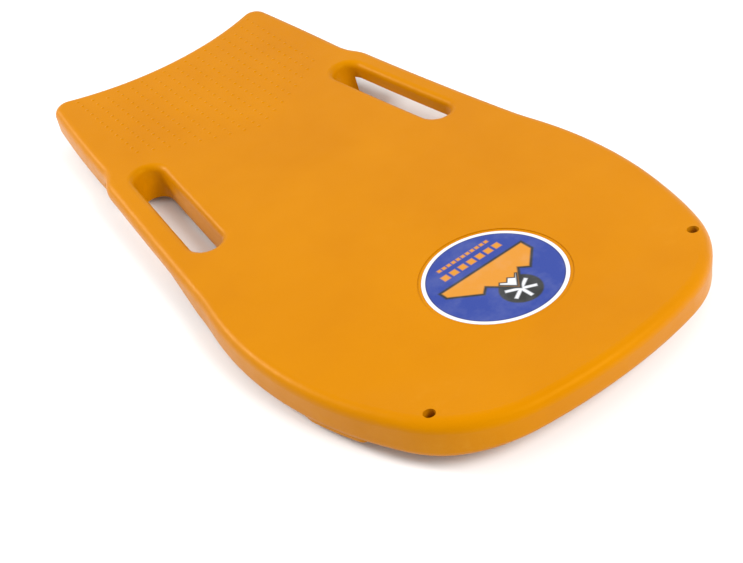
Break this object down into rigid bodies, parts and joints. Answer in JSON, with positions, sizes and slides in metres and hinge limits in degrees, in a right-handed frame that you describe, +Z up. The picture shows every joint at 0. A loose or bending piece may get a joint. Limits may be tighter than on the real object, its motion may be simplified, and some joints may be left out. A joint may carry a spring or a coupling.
{
  "type": "prone snow sled",
  "caption": "Hollow moulded belly board for sliding on snow, with side hand slots, nose rope holes, grip bumps at the tail and a round badge.",
  "frame": {"origin": "centre of the footprint, on the surface that the runners stand on", "axes": "+X across the board, -Y towards the wide nose, +Y towards the narrow tail, +Z up from the deck"},
  "size_m": [0.5188, 0.9221, 0.0696],
  "materials": {
    "deck_shell": "orange-yellow polyethylene, semi-matte with a fine moulded grain",
    "hull_shell": "orange-yellow polyethylene, smooth sliding side",
    "nose_badge": "printed vinyl, blue with a white ring",
    "grip_bumps": "same plastic as the deck"
  },
  "bodies": {
    "root": {"deck_shell": "deck_shell", "hull_shell": "hull_shell", "nose_badge": "nose_badge", "grip_bumps": "grip_bumps"}
  },
  "joints": []
}
